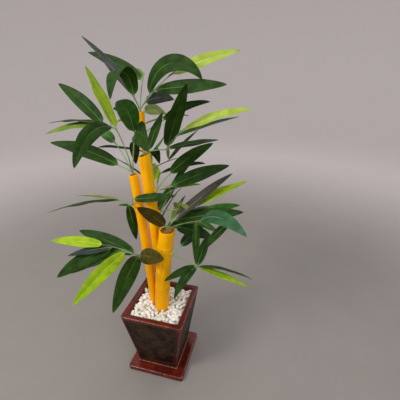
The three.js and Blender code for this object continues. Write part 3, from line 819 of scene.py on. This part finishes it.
def cane_skin(name, cane, line):
    """A cane with its swollen rings and scars, channels, cracks and hollow cut top."""
    length, radii, around = line.length, cane.radius, CANE.around
    rings = [line.at_height(z) * length for z in cane.rings]
    rows = set(np.round(np.arange(0, length - CANE.cut_room, CANE.step), 2))
    for ring in rings:
        rows |= set(np.round(ring + np.arange(*CANE.ring_rows), 2))
    rows = np.array(sorted(h for h in rows if h < length - CANE.cut_room))
    angles = angles_round(around)
    rng = np.random.default_rng(FINE_SEED + len(name) + int(radii[0]))
    h, a = rows[:, None], angles[None, :]
    radius = mix(*radii, h / length) + 0 * a
    groove = np.zeros_like(radius)
    for wave in range(1, 4):
        phase, turn = rng.uniform(0, TURN, 2)
        along = np.sin(h / length * TURN * wave * CANE.waver_turns + phase)
        radius += CANE.waver * along * np.cos(a * wave + turn)
    for ring in rings:
        d = h - ring + CANE.ring_tilt * np.sin(a * 2 + rng.uniform(0, TURN))
        radius += humps(d, RING_RELIEF)
        # Painted shade in the crease by the ring.
        groove += humps(d, RING_SHADE)
    for bearing, start, end in zip(cane.grooves, [0] + rings, rings + [length + CANE.past_top]):
        bend = CANE.channel_bend * np.sin(h / CANE.channel_bend_size + rng.uniform(0, TURN))
        off = angles_from(math.radians(bearing) + bend, a)
        inside = smooth(*(start + away for away in CANE.channel_start), h)
        inside = inside * (1 - smooth(*(end - away for away in CANE.channel_end), h))
        shown, varied = CANE.channel_show
        size, phase = rng.uniform(*CANE.channel_show_size), rng.uniform(0, TURN)
        inside = inside * (shown + varied * np.sin(h / size + phase))
        radius -= inside * humps(off, ((CANE.channel * radii[0], 0, 0.3), (0.3, 0, 0.08)))
        # Painted shade down the channel.
        groove += inside * humps(off, CHANNEL_SHADE)
    for _ in range(CANE.cracks):
        bearing, spot, reach = rng.uniform(0, TURN), rng.uniform(0, length), rng.uniform(*CANE.crack_reach)
        there = hump(h - spot, reach) * hump(angles_from(bearing, a), CANE.crack_width)
        radius -= CANE.crack_depth * there
        groove += CANE.crack_line * there
    # The cut: a softened outer edge, the flat of the wall, and the hollow down to its floor. Each row is a
    # radius, a height and the finish of the strip that leads to it.
    last, inner, floor = radius[-1], radius[-1] - HOLLOW.wall, length - HOLLOW.depth
    cut = [
        (last, length - 0.7, 0), (last - 0.5, length - 0.1, 0), (last - 1.0, length, 0),
        (inner + 0.5, length, 0), (inner, length - 0.6, 1), (inner - 0.2, floor, 1),
        (last * 0.15, floor - 0.6, 1),
    ]
    radius = np.vstack([radius, *(r for r, _, _ in cut)])
    groove = np.vstack([groove, np.zeros((len(cut), around))])
    heights = np.append(rows, [z for _, z, _ in cut])
    looks = [0] * (len(rows) - 1) + [part for _, _, part in cut]
    t = np.clip(heights / length, 0, 1)
    up = line.way(t)
    right = unit(np.array((1.0, 0, 0)) - up * up[:, :1])
    back = np.cross(up, right)
    lean = smooth(length - CANE.slant_reach, length, heights)[:, None] * cane.slant
    lift = lean * radius / radii[1] * np.cos(angles - math.radians(SLANT_BEARING)) - lean
    outward = np.cos(angles)[:, None] * right[:, None] + np.sin(angles)[:, None] * back[:, None]
    loops = line.point(t)[:, None] + outward * radius[..., None] + up[:, None] * lift[..., None]
    return skin(loops, looks, groove=groove)


# Leaves and twigs.


def arc(base, bearing, rise, length, curl):
    """The arc of a leaf or a twig, whose rise drops by the curl on its way from base to end. It gives
    the points, the level direction across it and the tangents at places from 0 to 1."""
    b, mean = math.radians(bearing), math.radians(rise)
    bend = max(math.radians(curl), 1e-3)
    start = mean + bend / 2

    def line(t):
        t = np.asarray(t, float)
        now = start - bend * t
        out = length / bend * (math.sin(start) - np.sin(now))
        up = length / bend * (np.cos(now) - math.cos(start))
        points = base + np.stack([math.cos(b) * out, math.sin(b) * out, up], -1)
        side = np.array((-math.sin(b), math.cos(b), 0))
        tangents = np.stack([np.cos(now) * math.cos(b), np.cos(now) * math.sin(b), np.sin(now)], -1)
        return points, side, tangents

    return line


def lance(t):
    """A lance outline: the width at a place from 0 to 1, as a share of the greatest."""
    return np.abs(np.sin(math.pi * np.asarray(t, float) ** LEAF.lean)) ** LEAF.fullness


def leaf_skin(line, length, breadth, turn, look, rng):
    """A closed blade of little thickness on a short petiole: a raised midrib, two halves folded up a little
    from it, and waving edges. The rib is 1 along the midrib's crest and fades with it towards the tip."""
    t = np.linspace(0, 1, LEAF.rows + 1) ** LEAF.crowding
    points, side, tangents = line(t)
    normal = np.cross(tangents, side)
    roll = math.radians(turn)
    across = side * math.cos(roll) + normal * math.sin(roll)
    face = np.cross(tangents, across)
    along = t[:, None]
    opened = smooth(*(share * LEAF.petiole for share in LEAF.opening), along)
    widest = length * LEAF.width * breadth / 2
    half = np.maximum(widest * lance(along) * opened, mix(LEAF.stalk, LEAF.tip, along))
    rib_half = np.minimum(mix(*MIDRIB.half, along), 0.5 * half)
    steps = np.array(BLADE_STEPS)
    outward = rib_half + (half - rib_half) * steps
    crest = np.zeros((len(t), 1))
    width = np.concatenate([-outward[:, ::-1], -rib_half / 2, crest, rib_half / 2, outward], 1)
    u = width / half
    ribs = np.pad(MIDRIB.crest, len(steps))
    rib = ribs * (1 - smooth(*MIDRIB.fade, along))
    fold = LEAF.fold * rng.uniform(*LEAF.fold_range)
    waves = []
    for _ in range(2):
        size, count, phase = rng.uniform(*LEAF.wave), rng.uniform(*LEAF.wave_count), rng.uniform(0, TURN)
        waves.append(size * np.sin(along * count * TURN + phase) * np.sin(math.pi * along))
    waving = np.where(u < 0, *waves) * np.abs(u) ** 2
    bulge = LEAF.bulge * (1 - (2 * np.abs(u) - 1) ** 2)
    lift = half * (fold * (np.abs(u) - LEAF.fold_level) + waving + bulge)
    thick = LEAF.thickness / 2 * (1 - LEAF.edge_thinning * np.abs(u) ** 3)
    petiole = LEAF.petiole_swelling * LEAF.stalk * (1 - opened)
    raised = rib * mix(*MIDRIB.rise, along) + petiole * (1 - u * u)
    over, under = lift + thick + raised, lift - thick - LEAF.under_share * raised
    ring_width, ring_lift, ring_rib, ring_u = (
        np.concatenate([below, above[:, ::-1]], 1)
        for below, above in ((width, width), (under, over), (rib, rib), (u, u))
    )
    loops = points[:, None] + across[:, None] * ring_width[..., None] + face[:, None] * ring_lift[..., None]
    uv = np.stack([ring_u / 2 + 0.5, np.broadcast_to(along, ring_u.shape)], -1)
    return skin(loops, look, uv, rib=ring_rib)


def spray_root(plan, lines):
    """Where a spray's stem starts, and the way it leaves."""
    cane, line = CANES[plan["cane"]], lines[plan["cane"]]
    if "height" not in plan:
        way = line.way(1.0)
        return line.point(1 - HOLLOW.depth / line.length) + way * GAP, way
    along = line.at_height(plan["height"])
    way = level_way(plan["side"], line.way(along))
    swelling = RING_PROUD if plan["height"] in cane.rings else 0
    return line.point(along) + way * (mix(*cane.radius, along) + swelling + GAP), way


def balls_along(owner, line, radius, free):
    """Balls along the outer part of a twig or leaf, for the test of its clearance."""
    t = mix(free, 1, np.arange(RULE.samples + 1) / RULE.samples)
    return [(owner, point, r) for point, r in zip(line(t)[0], np.broadcast_to(radius(t), t.shape))]


def is_clear(balls, taken):
    return all(
        owner == other_owner or math.dist(point, other) > radius + other_radius + RULE.spacing
        for owner, point, radius in balls
        for other_owner, other, other_radius in taken
    )


def draw_spray(plan, draw):
    """The seeded rule: twigs fan out about the spray's bearing, and leaves stand off to the left and
    right of each in turn, closer together towards its end."""
    def between(limits):
        return mix(*limits, draw())

    twigs, leaves = [], []
    for i in range(plan["twigs"]):
        bearing = plan["side"] + RULE.fan * (i / (plan["twigs"] - 1) - 0.5)
        twigs.append([None, 0, bearing, between(RULE.twig_rise), between(RULE.twig_length)])
        for j in range(plan["leaves"]):
            way = 1 if j % 2 else -1
            leaf_bearing = bearing + way * between(RULE.spread)
            rise, length = between(RULE.leaf_rise), between(RULE.leaf_length)
            curl, turn, share = between(RULE.curl), between(RULE.turn), draw()
            tone = next(name for name, up_to in TONE_SHARES if share <= up_to)
            leaves.append([i, 1 - RULE.leaf_step * j, leaf_bearing, rise, length, curl, turn, tone])
    return {**plan, "twigs": twigs, "leaves": leaves, "drawn": True}


def grow_spray(plan, draw, lines, taken, rng):
    """One spray, as the skins of its leaves and the wires of its stem, twigs, sheaths and buds.
    A wire is a row of points with a radius at each."""
    base, way = spray_root(plan, lines)
    stem_length = STEM.stub if "height" in plan else HOLLOW.depth + STEM.proud
    drawn = plan.get("drawn", False)
    root = base + way * (stem_length - STEM.sink)
    wires = [(np.array([base, base + way * stem_length * 0.5, base + way * stem_length]), STEM.radius)]
    leaves, balls, twigs = [], [], []
    for parent, along, bearing, rise, length in plan["twigs"]:
        start = root if parent is None else twigs[parent].line(along)[0]
        line = arc(start, bearing, rise, length, TWIG.curl)
        own = balls_along(plan["name"], line, lambda t: TWIG.radius, RULE.twig_free)
        kept = not drawn or is_clear(own, taken)
        twigs.append(Named(line=line, kept=kept, length=length, joints=[(0, *TWIG.foot_swelling)]))
        if kept:
            balls += own
    for index, along, bearing, rise, length, curl, turn, tone in plan["leaves"]:
        twig, breadth = twigs[index], mix(*LEAF.breadth, draw())
        line = arc(twig.line(along)[0], bearing, rise, length, curl)
        own = balls_along(plan["name"], line, lambda t: length * LEAF.width * lance(t) / 2, RULE.leaf_free)
        if drawn and not (twig.kept and is_clear(own, taken)):
            continue
        balls += own
        leaves.append(leaf_skin(line, length, breadth, turn, list(TONES).index(tone), rng))
        twig.joints.append((along, *TWIG.joint_swelling))
        t = np.linspace(0, SHEATH.length / length, SHEATH.points)
        wires.append((line(t)[0], np.linspace(*SHEATH.radius, len(t))))
    t = np.linspace(0, 1, TWIG.points)
    leafy_twigs = {leaf[0] for leaf in plan["leaves"]}
    for index, twig in enumerate(twigs):
        if not twig.kept:
            continue
        radius = mix(TWIG.radius, TWIG.tip_radius, t)
        for along, swelling, reach in twig.joints:
            radius = radius + swelling * hump((t - along) * twig.length, reach)
        wires.append((twig.line(t)[0], radius))
        if index in leafy_twigs:
            tip, _, tangents = twig.line(np.array([1.0]))
            reach = np.linspace(0, rng.uniform(*BUD.length), BUD.points)[:, None]
            wires.append((tip + tangents * reach, np.linspace(BUD.radius, BUD.end, BUD.points)))
    taken += balls
    return leaves, wires


def wire_tree(material):
    """The Geometry Nodes tree that turns lines with radii into closed round wires."""
    tree, entry = start_tree("wire_stems", Sides=WIRE_SIDES, Thickness=1.0)
    curves = out_of(tree, "GeometryNodeMeshToCurve", {"Mesh": entry["Geometry"]})
    wire = out_of(tree, "GeometryNodeInputNamedAttribute", {"Name": "wire"}, data_type="FLOAT")
    circle = {"Resolution": entry["Sides"], "Radius": 1.0}
    tube = out_of(tree, "GeometryNodeCurveToMesh", {
        "Curve": curves, "Profile Curve": out_of(tree, "GeometryNodeCurvePrimitiveCircle", circle),
        "Scale": times(wire, entry["Thickness"]), "Fill Caps": True,
    })
    smoothed = out_of(tree, "GeometryNodeSetShadeSmooth", {"Geometry": tube, "Shade Smooth": True})
    return end_tree(tree, smoothed, material)


def wire_object(name, wires, tree):
    """The wires of a spray as one mesh of round tubes."""
    edges, start = [], 0
    for line, _ in wires:
        edges += [(start + i, start + i + 1) for i in range(len(line) - 1)]
        start += len(line)
    mesh = mesh_of(name, np.concatenate([line for line, _ in wires]), edges, [])
    keep(mesh, "wire", [np.asarray(radius, float) * MM for _, radius in wires])
    return bake_nodes(placed(name, mesh), tree)


# Gravel.


def bed_skin():
    """The dusty bed under the chips, which fills the pot."""
    random = np.random.default_rng(GRAVEL.seed)
    inset = POT.wall + GAP
    bottom, top = POT_BOTTOM + POT.floor + GAP, GRAVEL.top - BED.sunk
    profile = [(pot_half(bottom) - inset, bottom)]
    profile += [((pot_half(top) - inset) * s, top) for s in np.linspace(1, BED.inmost, BED.loops)]
    steps = {"side_steps": BED.side_steps, "corner_steps": BED.corner_steps}
    loops = square_loops(profile, POT.corner, **steps)
    loops[2:, :, 2] += random.uniform(-BED.uneven, BED.uneven, loops[2:, :, 2].shape)
    return skin(loops)


def chip_mesh(kind):
    """One crushed stone: the hull of a few points scattered near an oval."""
    rng = np.random.default_rng(GRAVEL.seed + kind)
    turned = np.arange(CHIP.corners) * GOLDEN_ANGLE + rng.uniform(0, TURN)
    height = np.linspace(-CHIP.polar, CHIP.polar, CHIP.corners)
    across = np.sqrt(1 - height**2)
    ways = np.stack([across * np.cos(turned), across * np.sin(turned), height], -1)
    shape = bmesh.new()
    for point in ways * CHIP.half * rng.uniform(*CHIP.uneven, (CHIP.corners, 1)) * MM:
        shape.verts.new(point)
    hull = bmesh.ops.convex_hull(shape, input=shape.verts)
    loose = [v for v in hull["geom_unused"] + hull["geom_interior"] if isinstance(v, bmesh.types.BMVert)]
    bmesh.ops.delete(shape, geom=list(set(loose)), context="VERTS")
    bmesh.ops.bevel(shape, geom=list(shape.edges), offset=CHIP.round * MM, segments=1, affect="EDGES")
    bmesh.ops.recalc_face_normals(shape, faces=shape.faces)
    mesh = bpy.data.meshes.new("chip")
    shape.to_mesh(mesh)
    shape.free()
    return mesh


def gravel_tree(material, kinds):
    """The Geometry Nodes tree that strews chips over a surface, each turned, sized and tinted by chance."""
    tree, entry = start_tree(
        "strewn_chips", Spacing=GRAVEL.spacing * MM, Tilt=CHIP.tilt,
        Smallest=CHIP.scale[0], Largest=CHIP.scale[1], Seed=GRAVEL.seed,
    )
    seed, tilt = entry["Seed"], entry["Tilt"]
    down = times(tilt, -1.0)
    least, most = (
        out_of(tree, "ShaderNodeCombineXYZ", {0: slant, 1: slant, 2: spin})
        for slant, spin in ((down, 0.0), (tilt, TURN))
    )

    def chance(kind, limits, added, socket=1):
        inputs = {**limits, "Seed": maths("ADD", seed, added)}
        return out_of(tree, "FunctionNodeRandomValue", inputs, socket, data_type=kind)

    strewn = out_of(tree, "GeometryNodeDistributePointsOnFaces", {
        "Mesh": entry["Geometry"], "Distance Min": entry["Spacing"], "Seed": seed,
        "Density Max": GRAVEL.densest,
    }, distribute_method="POISSON")
    chips = out_of(tree, "GeometryNodeCollectionInfo", {
        "Collection": kinds, "Separate Children": True, "Reset Children": True,
    })
    laid = out_of(tree, "GeometryNodeInstanceOnPoints", {
        "Points": strewn, "Instance": chips, "Pick Instance": True,
        "Rotation": chance("FLOAT_VECTOR", {0: least, 1: most}, 0.0, 0),
        "Scale": chance("FLOAT", {2: entry["Smallest"], 3: entry["Largest"]}, 1.0),
    })
    tinted = out_of(tree, "GeometryNodeStoreNamedAttribute", {
        "Geometry": laid, "Name": "tint", "Value": chance("FLOAT", {}, 2.0),
    }, data_type="FLOAT", domain="INSTANCE")
    return end_tree(tree, tinted, material)


def strew_gravel(lines, material):
    """Layers of chips between the pot's walls and round the feet of the canes."""
    kinds = bpy.data.collections.new("chip_kinds")
    for kind in range(CHIP.kinds):
        kinds.objects.link(bpy.data.objects.new("chip_%d" % kind, chip_mesh(kind)))
    points, h = [], GRAVEL.cell / 2
    for layer in GRAVEL.layers:
        z = GRAVEL.top + layer
        reach = pot_half(z) - POT.wall - CHIP.wall_inset
        middles = -reach + (np.arange(int(2 * reach / GRAVEL.cell)) + 0.5) * GRAVEL.cell
        feet = [
            (line.point(line.at_height(z))[:2], CANES[name].radius[0] + CHIP.cane_room)
            for name, line in lines.items()
        ]
        for x in middles:
            for y in middles:
                if all(math.dist((x, y), foot) >= room for foot, room in feet):
                    corners = ((x - h, y - h), (x + h, y - h), (x + h, y + h), (x - h, y + h))
                    points += [(*corner, z) for corner in corners]
    cells = np.arange(len(points)).reshape(-1, 4).tolist()
    made = placed("white_gravel", mesh_of("white_gravel", points, [], cells))
    bake_nodes(made, gravel_tree(material, kinds))
    for chip in list(kinds.objects):
        bpy.data.objects.remove(chip)
    bpy.data.collections.remove(kinds)
    soften(made.data, CHIP.crease)
    return made


# Studio.


def sweep():
    """A round floor that turns paler and curves up into a wall far out on all sides."""
    flat, bend, height = SWEEP.flat, SWEEP.bend, SWEEP.height
    profile = [(share * flat, 0.0) for share in SWEEP.flat_loops]
    bends = np.linspace(SWEEP.first_bend, math.pi / 2, SWEEP.bend_loops)
    profile += [(flat + bend * math.sin(a), bend * (1 - math.cos(a))) for a in bends]
    profile += [(flat + bend, z) for z in np.linspace(bend, height, SWEEP.wall_loops + 1)[1:]]
    angles = angles_round(SWEEP.around)
    loops = np.array([
        np.stack([r * np.cos(angles), r * np.sin(angles), z + 0 * angles], -1) for r, z in profile
    ]) / MM
    floor = join("sweep", [skin(loops[::-1], capped=False)], [floor_finish()])
    return floor


def area_light(name, place, size, power, colour):
    light = bpy.data.lights.new(name, "AREA")
    light.shape, light.size, light.energy = "DISK", size, power
    light.color = linear(colour)[:3]
    made = placed(name, light)
    made.location = place
    made.rotation_euler = (Vector(LAMP_AIM) - Vector(place)).to_track_quat("-Z", "Y").to_euler()


def studio():
    scene = bpy.context.scene
    world = bpy.data.worlds.new("soft_room")
    world.use_nodes = True
    backdrop = world.node_tree.nodes["Background"]
    backdrop.inputs["Color"].default_value = linear("f6f4f4")
    backdrop.inputs["Strength"].default_value = ROOM_LIGHT
    scene.world = world
    for lamp in LAMPS:
        area_light(*lamp)
    scene.view_settings.view_transform = "Standard"


def camera():
    """The photographed view: 400 by 400, the plant left of the middle."""
    lens = bpy.data.cameras.new("view")
    lens.sensor_width, lens.lens = SENSOR, SENSOR * FOCAL_SHARE
    lens.clip_start = 0.02
    made = placed("view", lens)
    made.location = Vector(EYE) * MM
    made.rotation_euler = (math.radians(90 - PITCH), 0, math.radians(YAW))
    bpy.context.scene.camera = made


# Assembly.


def main():
    glaze = glaze_finish("red_brown_glaze", (0.12, 0.24), 0.3)
    burnt = glaze_finish("burnt_panel_glaze", (0.28, 0.45), 0.15)
    settle(join("foot_plate_glazed", [plate_skin()], [glaze]), "glaze", "foot_plate")
    settle(join("pot_embossed", [pot_skin()], [glaze, burnt], crease=60), "glaze", "pot")
    lines = {name: CaneLine(cane) for name, cane in CANES.items()}
    dust_grain = {"scale": 300, "detail": 5.0}
    dust = grained_finish("stone_dust", dust_grain, ("b3ab9d", "dcd6ca"), 0.65, (0.8, 0.95), 0.8)
    settle(join("gravel_bed", [bed_skin()], [dust]), "white_stone", "gravel")
    settle(strew_gravel(lines, stone_finish()), "white_stone")
    fibres = {"scale": 600, "stretch": (1, 1, 0.2)}
    raw = grained_finish("raw_cane", fibres, ("b98a2e", "6f4a14"), 0.7, (0.7, 0.9), 0.3)
    plans = SPRAYS + DRAWN_SPRAYS
    for name, cane in CANES.items():
        skins = [cane_skin(name, cane, lines[name])]
        skins += [
            stub_skin(lines[name], cane, plan)
            for plan in plans if plan["cane"] == name and "height" in plan
        ]
        made = join(name + "_painted", skins, [paint_finish(name, cane.colour), raw])
        settle(made, "painted_cane", name)
    finishes = [leaf_finish(tone, *look) for tone, look in TONES.items()]
    stems = wire_tree(stem_finish())
    taken = [
        (name, line.point(t), mix(*CANES[name].radius, t))
        for name, line in lines.items() for t in np.linspace(0, 1, RULE.cane_samples + 1)
    ]
    for index, plan in enumerate(plans):
        draw = seeded(SPRAY_SEED + NODES_BEFORE_SPRAYS + index)
        rng = np.random.default_rng(FINE_SEED + index)
        if plan in DRAWN_SPRAYS:
            plan = draw_spray(plan, draw)
        leaves, wires = grow_spray(plan, draw, lines, taken, rng)
        settle(join(plan["name"] + "_leaves", leaves, finishes), "leaf", plan["name"])
        settle(wire_object(plan["name"] + "_stems", wires, stems), "leaf", plan["name"])
    sweep()
    studio()
    camera()


main()
